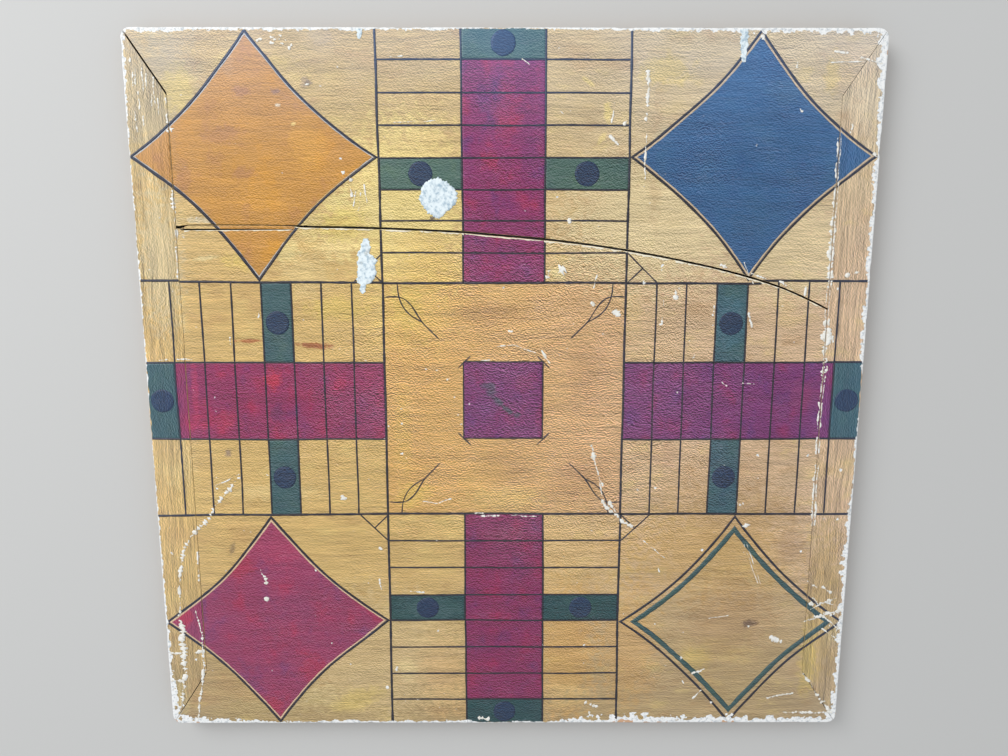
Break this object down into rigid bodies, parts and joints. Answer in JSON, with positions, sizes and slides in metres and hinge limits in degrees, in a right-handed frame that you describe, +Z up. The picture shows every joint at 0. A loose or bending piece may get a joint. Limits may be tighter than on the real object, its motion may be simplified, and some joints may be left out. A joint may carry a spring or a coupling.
{
  "type": "painted wooden game board",
  "caption": "Old painted wooden cross-and-circle race game board with corner nests, red home lanes, mitred end pieces and a split across its panel.",
  "frame": {"origin": "middle of the underside, on the surface the board lies on", "axes": "+Z up out of the painted face, +X to the right and +Y to the far side, as the picture shows the face"},
  "size_m": [0.4572, 0.4526, 0.0161],
  "materials": {
    "ochre_wood": "thin yellow-ochre paint under crazed old varnish, worn to white gesso and bare wood at the edges; bare aged wood underneath",
    "ink_paint": "brushed blue-black oil paint, slightly raised, semi-matt",
    "crimson_paint": "thin crimson oil paint showing the grain, semi-matt",
    "green_paint": "bottle green oil paint, semi-matt",
    "orange_paint": "thin orange oil paint showing the grain, semi-matt",
    "blue_paint": "dark blue oil paint, semi-matt"
  },
  "bodies": {
    "root": {"panel_far": "ochre_wood", "panel_near": "ochre_wood", "end_left": "ochre_wood", "end_right": "ochre_wood", "lines_far": "ink_paint", "lines_right": "ink_paint", "lines_near": "ink_paint", "lines_left": "ink_paint", "corner_braces": "ink_paint", "corner_arrows": "ink_paint", "centre_outline": "ink_paint", "centre_square": "crimson_paint", "red_lane_far": "crimson_paint", "red_lane_right": "crimson_paint", "red_lane_near": "crimson_paint", "red_lane_left": "crimson_paint", "safe_cells_far": "green_paint", "safe_cells_right": "green_paint", "safe_cells_near": "green_paint", "safe_cells_left": "green_paint", "safe_dots": "ink_paint", "nest_orange": "orange_paint", "nest_orange_line": "ink_paint", "nest_blue": "blue_paint", "nest_blue_line": "ink_paint", "nest_red": "crimson_paint", "nest_red_line": "ink_paint", "nest_green": "green_paint", "nest_green_line": "ink_paint"}
  },
  "joints": []
}
